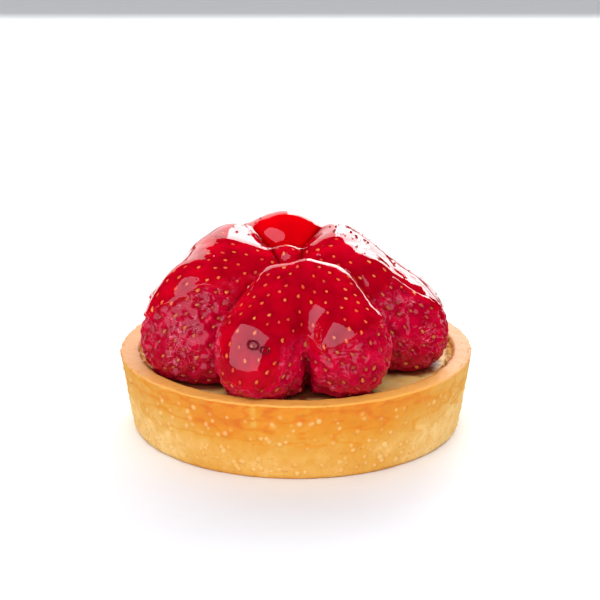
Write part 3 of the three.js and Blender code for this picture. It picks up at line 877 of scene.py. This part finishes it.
def make_berry(name, seed):
    """Skin of a berry: its plain skin, pushed along its normals by
    swell + puffs between the seeds - pits round them + folds of skin where it is bare.
    Also gives its seeds' places, normals, lengthwise and sideways vectors and bareness."""

    def skin_distance(points):
        return pressed_distance(points, name)

    directions = sphere_directions(SKIN_ROWS, SKIN_COLUMNS, berry_axes(name))
    core = np.array(BERRIES[name]["core"])
    plain = follow_rays(skin_distance, core, directions, reach=2.0, limits=(0.5, 40.0), pace=1.0, steps=26)
    flat = plain.reshape(-1, 3)
    normals = surface_normals(skin_distance, flat, 0.05)
    bare = 1.0 - glaze_cover(flat)
    numbers = seed_numbers(name, flat, seed)
    lengthwise, sideways = seed_axes(name, flat[numbers], normals[numbers])
    nearest = distance_to_seeds(flat, flat[numbers], lengthwise)
    pit = np.exp(-((nearest / PIT_RADIUS) ** 2))
    puff = smooth_step(0.5, 1.9, nearest)
    broad_folds = np.abs(value_noise(flat, 2.1, seed + 50))
    fine_folds = np.abs(value_noise(flat, 1.0, seed + 51))
    folds = 0.8 - 2.6 * broad_folds - 1.2 * fine_folds
    push = SWELL_HEIGHT * fractal_noise(flat, 7.0, seed + 60, 2) + PUFF_HEIGHT * (0.35 + 0.65 * bare) * puff
    push = push - PIT_DEPTH * (0.5 + 0.5 * bare) * pit + FOLD_HEIGHT * (0.08 + 0.92 * bare) * folds
    pressed = smooth_step(0.05, 1.1, np.minimum(cup_distance(flat), neighbour_distance(flat, name)))
    push = np.minimum(push, HIGHEST_PUSH) * pressed
    skin = flat + normals * push[:, None]
    mesh = closed_grid_mesh(name + "_skin", skin.reshape(plain.shape))
    store_value(mesh, "bare", np.concatenate([bare, [bare[0], bare[-1]]]))
    store_value(mesh, "pit", pit)
    for tint, values in skin_tints(name, flat).items():
        store_value(mesh, tint, values)
    return mesh, (skin[numbers], normals[numbers], lengthwise, sideways, bare[numbers])


FLESH_TONES = [(0.3, (0.31, 0.0002, 0.008)), (0.52, (0.44, 0.0003, 0.011)), (0.8, (0.64, 0.0008, 0.014))]
PAINTED_LIT_FLESH = (0.62, 0.0001, 0.0035)
BARE_CRIMSON = (0.35, 0.0003, 0.014)
BARE_BLUSH = (0.61, 0.001, 0.034)
FIBRE_PAINTED_GLINT_PINK = (0.93, 0.20, 0.30)
LOW_PAINTED_SHADE = (0.27, 0.0002, 0.012)
PIT_PAINTED_SHADE = (0.28, 0.0008, 0.006)


def berry_material():
    """Ripe flesh seen through thin wet skin: crimson under the glaze; where it is bare, blotched with a
    pinker blush, crossed by pale curling fibres whose pink is a painted highlight, with painted shade
    low down, and wet on top. Painted light brightens the back berry's dome and glows in the front
    berry's left lobe and cleft. The pits are painted a deeper red as shade, and the bump is creases
    and raised fibres."""
    material, shader, add = node_material("ripe_strawberry")
    place = add("ShaderNodeTexCoord").outputs["Object"]
    painted_glow = stored(add, "painted_glow")
    bare = stored(add, "bare")
    # Painted light: a glow through the front berry's left lobe and its cleft.
    bright = maths(add, "MULTIPLY_ADD", painted_glow, 0.14, noise(add, place, 140.0, 3.0))
    # Painted light on the back berry's dome, where it faces the middle of the heap.
    flesh = blend_colours(add, stored(add, "painted_dome_light"), colour_ramp(add, bright, FLESH_TONES), PAINTED_LIT_FLESH)
    blush = stretch(add, noise(add, place, 300.0, 3.0), 0.3, 0.7)
    wet = blend_colours(add, maths(add, "MULTIPLY_ADD", painted_glow, 0.35, blush), BARE_CRIMSON, BARE_BLUSH)
    # Pale fibre lines: raised in the bump, and their pink a painted highlight of wet ridges.
    off_line = maths(add, "ABSOLUTE", maths(add, "SUBTRACT", noise(add, place, 480.0, 1.0, 1.4), 0.5))
    line = stretch(add, off_line, 0.0, 0.028, 1.0, 0.0)
    patchy = stretch(add, noise(add, place, 170.0, 1.0), 0.44, 0.56)
    fibre_and_glint = maths(add, "MULTIPLY", maths(add, "MULTIPLY", line, patchy), stored(add, "fibres_and_glints"))
    wet = blend_colours(add, maths(add, "MULTIPLY", fibre_and_glint, 0.75), wet, FIBRE_PAINTED_GLINT_PINK)
    # Painted shade low down near the custard.
    height = add("ShaderNodeSeparateXYZ", {"Vector": place}).outputs["Z"]
    wet = blend_colours(add, stretch(add, height, 0.025, 0.018, end=0.6), wet, LOW_PAINTED_SHADE)
    skin = blend_colours(add, bare, flesh, wet)
    # Painted shade in the pits round the seeds.
    pit_shade = stretch(add, stored(add, "pit"), 0.2, 1.0, end=0.5)
    crease = maths(add, "ABSOLUTE", maths(add, "SUBTRACT", noise(add, place, 400.0, 2.0), 0.5))
    creases = maths(add, "MULTIPLY", crease, stretch(add, bare, start=0.1, end=-0.5))
    relief = maths(add, "MULTIPLY_ADD", maths(add, "MULTIPLY", fibre_and_glint, bare), 0.06, creases)
    inputs = {
        "Base Color": blend_colours(add, pit_shade, skin, PIT_PAINTED_SHADE),
        "Normal": bump(add, relief, 0.7, 0.002),
        "Coat Weight": stretch(add, bare, end=0.6),
        "Coat Roughness": 0.04,
        "Roughness": 0.45,
        "Specular IOR Level": 0.0,
        "Subsurface Weight": 0.3,
        "Subsurface Radius": (1.0, 0.08, 0.06),
        "Subsurface Scale": 0.0015,
    }
    set_inputs(shader, inputs)
    return material


def juice_and_shade_on_custard(points):
    """How much the custard darkens at a point next to the fruit, partly from juice soaked in and partly
    as painted shade under the berries: fully within a millimetre of a berry, not at all three
    millimetres away from one."""
    nearest = np.min([berry_distance(points, name) for name in BERRIES], axis=0)
    return smooth_step(2.8, 0.8, nearest + 0.6 * value_noise(points, 1.6, 99))


# Juice and painted shade where the custard meets the fruit.
custard_points = np.empty(len(filling.data.vertices) * 3, dtype=np.float32)
filling.data.vertices.foreach_get("co", custard_points)
store_value(filling.data, "juice_and_shade", juice_and_shade_on_custard(custard_points.reshape(-1, 3) / MM))

strawberry_red = berry_material()
berry_seeds = []
for order, berry_name in enumerate(BERRIES):
    berry_mesh, berry_seed_places = make_berry(berry_name, 100 + 10 * order)
    berry_seeds.append(berry_seed_places)
    berry_piece = add_piece(berry_name + "_skin", berry_mesh, strawberry_red)
    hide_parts(berry_name)


# ---- Seeds of the strawberries. Small hard fruitlets, pointed towards the berry's tip, each lying
# in its own pit. Yellow and orange under the glaze, duller where they are bare.
SEED_LENGTH = 1.12
SEED_WIDTH = 0.70
SEED_THICKNESS = 0.6
SEED_SINK = 0.02
SEED_ROWS = 5
SEED_COLUMNS = 8
SEED_TURN = 0.2
SEED_SIZES = (0.76, 1.1)
SEED_TAPER = 0.45
BARE_SEED_GROWTH = 0.14
GLAZED_HUSK = [(0.0, (0.80, 0.07, 0.02)), (0.5, (0.92, 0.18, 0.04)), (1.0, (0.95, 0.34, 0.08))]
BARE_HUSK = [(0.0, (0.44, 0.045, 0.020)), (0.5, (0.58, 0.10, 0.030)), (1.0, (0.70, 0.21, 0.05))]
HUSK_FLECK = (0.42, 0.09, 0.01)


def make_seeds():
    """All seeds as one mesh. A seed is a small grid of latitudes and longitudes, stretched to its
    length, width and thickness, its width falling off towards the tip by 1 - 0.45 t."""
    places, outward, lengthwise, sideways, bare = [np.concatenate(part) for part in zip(*berry_seeds)]
    random = np.random.default_rng(3)
    count = len(places)
    turn = random.normal(0.0, SEED_TURN, count)[:, None]
    along = lengthwise * np.cos(turn) + sideways * np.sin(turn)
    beside = np.cross(outward, along)
    size = random.uniform(*SEED_SIZES, (count, 1, 1)) * (1.0 + BARE_SEED_GROWTH * bare[:, None, None])
    local = sphere_directions(SEED_ROWS, SEED_COLUMNS, np.eye(3)).reshape(-1, 3)
    local = np.concatenate([local, [[0, 0, -1.0], [0, 0, 1.0]]])
    taper = 1.0 - SEED_TAPER * np.clip(local[:, 2], -0.4, 1.0)
    span = local[None, :, 2:] * SEED_LENGTH / 2 * along[:, None]
    span = span + (local[:, 0] * taper)[None, :, None] * SEED_WIDTH / 2 * beside[:, None]
    span = span + (local[:, 1] * taper)[None, :, None] * SEED_THICKNESS / 2 * outward[:, None]
    points = places[:, None] - SEED_SINK * outward[:, None] + size * span
    start = (np.arange(count) * len(local))[:, None, None]
    quads, triangles = closed_grid_faces(SEED_ROWS, SEED_COLUMNS)
    quads, triangles = (quads + start).reshape(-1, 4), (triangles + start).reshape(-1, 3)
    mesh = mesh_from_arrays("strawberry_seeds", points.reshape(-1, 3), quads, triangles)
    store_value(mesh, "bare", np.repeat(bare, len(local)))
    store_value(mesh, "tone", np.repeat(random.uniform(0, 1, count), len(local)))
    return mesh


def seed_material():
    """Husk: yellow to orange with darker flecks, each seed its own tone, duller where bare."""
    material, shader, add = node_material("seed_husk")
    tone = stored(add, "tone")
    glazed = colour_ramp(add, tone, GLAZED_HUSK)
    colour = blend_colours(add, stored(add, "bare"), glazed, colour_ramp(add, tone, BARE_HUSK))
    place = add("ShaderNodeTexCoord").outputs["Object"]
    colour = add_flecks(add, place, colour, HUSK_FLECK, 1600.0, 1.0, bare=0.5, full=0.75, cover=0.5)
    set_inputs(shader, {"Base Color": colour, "Roughness": 0.35, "Specular IOR Level": 0.25})
    return material


add_piece("strawberry_seeds", make_seeds(), seed_material())


# ---- Glaze. Clear apricot jelly, spooned over the fruit while warm: it lies half a millimetre
# thick, fills the clefts between the berries, and ends in a ragged rounded edge. A closed skin
# round the whole heap: where the fruit is bare it lies inside the berries and doesn't show.
GLAZE_CENTRE = np.array([0.0, 0.0, 21.0])
GLAZE_THICKNESS = 0.5
GLAZE_BARE = -1.5
GLAZE_BRIDGE = 2.2
GLAZE_WAVE = 0.09
GLAZE_SWELL = 0.2
GLAZE_LEDGE = 0.2
GLAZE_REACH = 46.0
GLAZE_ROWS = 240
GLAZE_COLUMNS = 410


def glaze_distance(points):
    """Distance to the glaze's outer skin: the smooth minimum over the berries, less a thickness
    that climbs from bare to full at the lower edge, with a ledge just above it."""
    distance = None
    for name in BERRIES:
        step = berry_distance(points, name)
        distance = step if distance is None else smooth_min(distance, step, GLAZE_BRIDGE)
    drop = glaze_drop(points)
    full = GLAZE_THICKNESS + GLAZE_SWELL * value_noise(points, 7.0, 320)
    full = full + GLAZE_WAVE * fractal_noise(points, 4.2, 321, 2)
    full = full + GLAZE_LEDGE * np.exp(-(((drop - 1.0) / 0.7) ** 2))
    return distance - (GLAZE_BARE + (full - GLAZE_BARE) * smooth_step(*GLAZE_FADE, drop))


def glaze_points(directions, steps):
    """Where rays from the middle of the heap leave the glaze. They come in from outside, slowly,
    because the berries melt together in it."""
    limits = (6.0, GLAZE_REACH)
    return follow_rays(glaze_distance, GLAZE_CENTRE, directions, GLAZE_REACH, limits, 0.7, steps)


def make_glaze():
    """Grid of rays from the middle of the heap, from just below level up to the very top."""
    polar = np.linspace(np.radians(102), np.radians(0.4), GLAZE_ROWS)[:, None]
    azimuth = np.arange(GLAZE_COLUMNS) * 2 * np.pi / GLAZE_COLUMNS
    directions = around(np.sin(polar), azimuth, np.cos(polar))
    return closed_grid_mesh("clear_glaze", glaze_points(directions, steps=48))


def let_shadow_rays_pass(shader, add):
    """Makes a material cast no shadow: the rays that look for lamps find it clear."""
    shadow = add("ShaderNodeLightPath").outputs["Is Shadow Ray"]
    clear = add("ShaderNodeBsdfTransparent").outputs["BSDF"]
    mixed = add("ShaderNodeMixShader", {"Fac": shadow, 1: shader.outputs["BSDF"], 2: clear})
    set_inputs(shader.id_data.nodes["Material Output"], {"Surface": mixed.outputs["Shader"]})


def glaze_material():
    """Clear jelly with the faintest warmth and ripple, casting no shadow on the fruit under it."""
    material, shader, add = node_material("clear_jelly")
    place = add("ShaderNodeTexCoord").outputs["Object"]
    inputs = {
        "Base Color": (1.0, 0.985, 0.97),
        "Normal": add_fine_relief(add, place, 260.0, 1.0, strength=0.06, depth=0.0006),
        "Transmission Weight": 1.0,
        "IOR": 1.45,
        "Roughness": 0.02,
    }
    set_inputs(shader, inputs)
    let_shadow_rays_pass(shader, add)
    return material


add_piece("clear_glaze", make_glaze(), glaze_material())


# ---- Bubbles that burst in the glaze while it set. Each has left a raised ring, painted dark red:
# painted shade for the ring's edge, which mirrors nothing bright and shows the red fruit through it.
# Two large ones lie on the front berry's left lobe, and small ones are scattered over the full
# glaze, every second one of them towards the right.
LARGE_BUBBLES = np.array([(-9.1, -37.8, 31.1), (-6.7, -38.4, 30.1)])
LARGE_BUBBLE_RADII = [1.15, 0.9]
SMALL_BUBBLE_COUNT = 90
SMALL_BUBBLE_RADIUS = (0.14, 0.3)
BUBBLE_CLEAR_OF_EDGE = 1.6
RING_THICKNESS = 0.27
RING_SQUASH = 0.8
RING_LIFT = 0.12
RING_SIDES = 24
RING_TUBE = 8
RING_PAINTED_DARK_RED = (0.15, 0.0005, 0.007)


def scatter_bubbles(random):
    """Directions of the small bubbles from the middle of the heap."""
    azimuth = random.uniform(0, 2 * np.pi, SMALL_BUBBLE_COUNT)
    azimuth[::2] = random.uniform(-0.5, 0.9, len(azimuth[::2]))
    polar = np.radians(random.uniform(15, 80, SMALL_BUBBLE_COUNT))
    polar[::2] = np.radians(random.uniform(20, 62, len(polar[::2])))
    return around(np.sin(polar), azimuth, np.cos(polar))


def ring_faces():
    """Quads of a tube bent round into a ring, row by row along it."""
    row, column = np.meshgrid(np.arange(RING_SIDES), np.arange(RING_TUBE), indexing="ij")
    here, there = row * RING_TUBE, (row + 1) % RING_SIDES * RING_TUBE
    after = (column + 1) % RING_TUBE
    return np.stack([here + column, there + column, there + after, here + after], axis=-1).reshape(-1, 4)


def make_bubbles():
    """All rings as one mesh. A ring is a tube bent round and squashed a little to one side: its
    points lie at a radius of 1 + w cos(u) and a height of w sin(u), with w the tube's thickness
    against the ring's radius."""
    random = np.random.default_rng(17)
    small = scatter_bubbles(random)
    places = glaze_points(np.concatenate([unit(LARGE_BUBBLES - GLAZE_CENTRE), small]), steps=60)
    radii = np.concatenate([LARGE_BUBBLE_RADII, random.uniform(*SMALL_BUBBLE_RADIUS, SMALL_BUBBLE_COUNT)])
    kept = glaze_drop(places) > BUBBLE_CLEAR_OF_EDGE
    places, radii = places[kept], radii[kept, None, None]
    normals = surface_normals(glaze_distance, places, 0.3)
    across = unit(np.cross(normals, [0.3, 0.2, 0.9]))
    axes = np.stack([across, np.cross(normals, across), normals], axis=1)
    turn = (np.arange(RING_SIDES) * 2 * np.pi / RING_SIDES)[:, None]
    tube = np.arange(RING_TUBE) * 2 * np.pi / RING_TUBE
    local = around(1.0 + RING_THICKNESS * np.cos(tube), turn, RING_THICKNESS * np.sin(tube))
    local = local.reshape(-1, 3) * [1.0, RING_SQUASH, 1.0]
    points = places[:, None] + RING_LIFT * normals[:, None] + radii * (local @ axes)
    start = (np.arange(len(places)) * RING_SIDES * RING_TUBE)[:, None, None]
    quads = (ring_faces() + start).reshape(-1, 4)
    return mesh_from_arrays("glaze_bubbles", points.reshape(-1, 3), quads, np.empty((0, 3), dtype=int))


def ring_material():
    """Jelly painted deep red: painted shade for the bubbles' edges, which mirror nothing bright."""
    material, shader, add = node_material("painted_dark_jelly")
    set_inputs(shader, {"Base Color": RING_PAINTED_DARK_RED, "Roughness": 0.4, "Specular IOR Level": 0.1})
    let_shadow_rays_pass(shader, add)
    return material


add_piece("glaze_bubbles", make_bubbles(), ring_material())


# ---- Floor. A wide sheet of matt white board that the tart stands on, lit until it is pure white.
# It belongs to the stage, not to the tart.
FLOOR_SIZE = 4000.0
BOARD_WHITES = [(0.0, (0.885, 0.90, 0.94)), (1.0, (0.915, 0.93, 0.965))]
MIRRORED_IN_FRONT = (0.05, 0.05, 0.05)
MIRRORED_BEHIND = (0.88, 0.88, 0.88)


def make_floor():
    """One square at height 0."""
    half = FLOOR_SIZE / 2
    corners = np.array([[-half, -half, 0], [half, -half, 0], [half, half, 0], [-half, half, 0]])
    return mesh_from_arrays("white_board", corners, np.array([[0, 1, 2, 3]]), np.empty((0, 3)))


def board_material():
    """Matt white, with a faint tooth; where it is mirrored in the wet fruit it is white behind the
    tart and dark in front of it."""
    material, shader, add = node_material("matt_white_board")
    place = add("ShaderNodeTexCoord").outputs["Object"]
    colour = colour_ramp(add, noise(add, place, 60.0, 2.0), BOARD_WHITES)
    along = add("ShaderNodeSeparateXYZ", {"Vector": place}).outputs["Y"]
    in_mirror = blend_colours(add, stretch(add, along, 0.06, 0.12), MIRRORED_IN_FRONT, MIRRORED_BEHIND)
    mirrored = add("ShaderNodeLightPath").outputs["Is Glossy Ray"]
    colour = blend_colours(add, mirrored, colour, in_mirror)
    set_inputs(shader, {"Base Color": colour, "Roughness": 0.9, "Specular IOR Level": 0.1})
    return material


floor_mesh = make_floor()
floor_mesh.materials.append(board_material())
floor = bpy.data.objects.new("white_board", floor_mesh)
bpy.context.scene.collection.objects.link(floor)


# ---- Light. A white room and soft boxes above, behind and in front of the tart fill every shadow
# but aren't mirrored in the glaze. Three boxes behind it draw the bright ridges, the right side's
# brighter than the left's, and a window at the front left draws the soft square patches.
WINDOW_TINT = (1.0, 0.95, 1.2)
ROOM_LIGHT = 0.46


def add_softbox(name, place, aim, width, height, radiance, mirrored=True, lighting=True):
    """A flat lamp of a given width and height in millimetres that faces its aim and glows evenly:
    power = 4 * radiance * area, as area lamps are reckoned here."""
    lamp = bpy.data.lights.new(name, "AREA")
    lamp.shape = "RECTANGLE"
    lamp.size = width * MM
    lamp.size_y = height * MM
    lamp.energy = 4.0 * radiance * width * height * MM * MM
    box = bpy.data.objects.new(name, lamp)
    bpy.context.scene.collection.objects.link(box)
    back = unit(np.subtract(place, aim).astype(float))
    side = unit(np.cross([0.0, 0.0, 1.0], back))
    turned = np.eye(4)
    turned[:3, :3] = np.stack([side, np.cross(back, side), back], axis=-1)
    turned[:3, 3] = np.array(place) * MM
    box.matrix_world = turned.T.tolist()
    box.visible_camera = False
    box.visible_glossy = mirrored
    box.visible_diffuse = lighting
    return box


add_softbox("backdrop_left", (-180, 700, 300), (-180, 0, 300), 360, 460, 1.15)
add_softbox("backdrop_right_low", (180, 700, 145), (180, 0, 145), 360, 150, 2.5)
add_softbox("backdrop_right", (180, 700, 400), (180, 0, 400), 360, 360, 4.8)
add_softbox("back_fill", (0, 720, 480), (0, 0, 480), 2400, 820, 2.1, mirrored=False)
add_softbox("top_fill", (0, -350, 900), (0, 0, 20), 900, 700, 0.65, mirrored=False)
front_window = add_softbox("front_window", (-364, -434, 441), (0, 0, 30), 1280, 1040, 1.75, lighting=False)
front_window.data.color = WINDOW_TINT
add_softbox("front_fill", (-80, -700, 450), (0, 0, 20), 1500, 800, 1.05, mirrored=False)

# The room looks pure white, and lights the tart less than half as strongly as that.
world = bpy.data.worlds.new("white_room")
world.use_nodes = True
bpy.context.scene.world = world
room = world.node_tree
seen = room.nodes.new("ShaderNodeLightPath").outputs["Is Camera Ray"]
strength = room.nodes.new("ShaderNodeMapRange")
set_inputs(strength, {"Value": seen, "To Min": ROOM_LIGHT, "To Max": 1.0})
set_inputs(room.nodes["Background"], {"Color": (1.0, 1.0, 1.0), "Strength": strength.outputs[0]})
world.cycles_visibility.glossy = False

bpy.context.scene.view_settings.view_transform = "Standard"
bpy.context.scene.view_settings.look = "None"
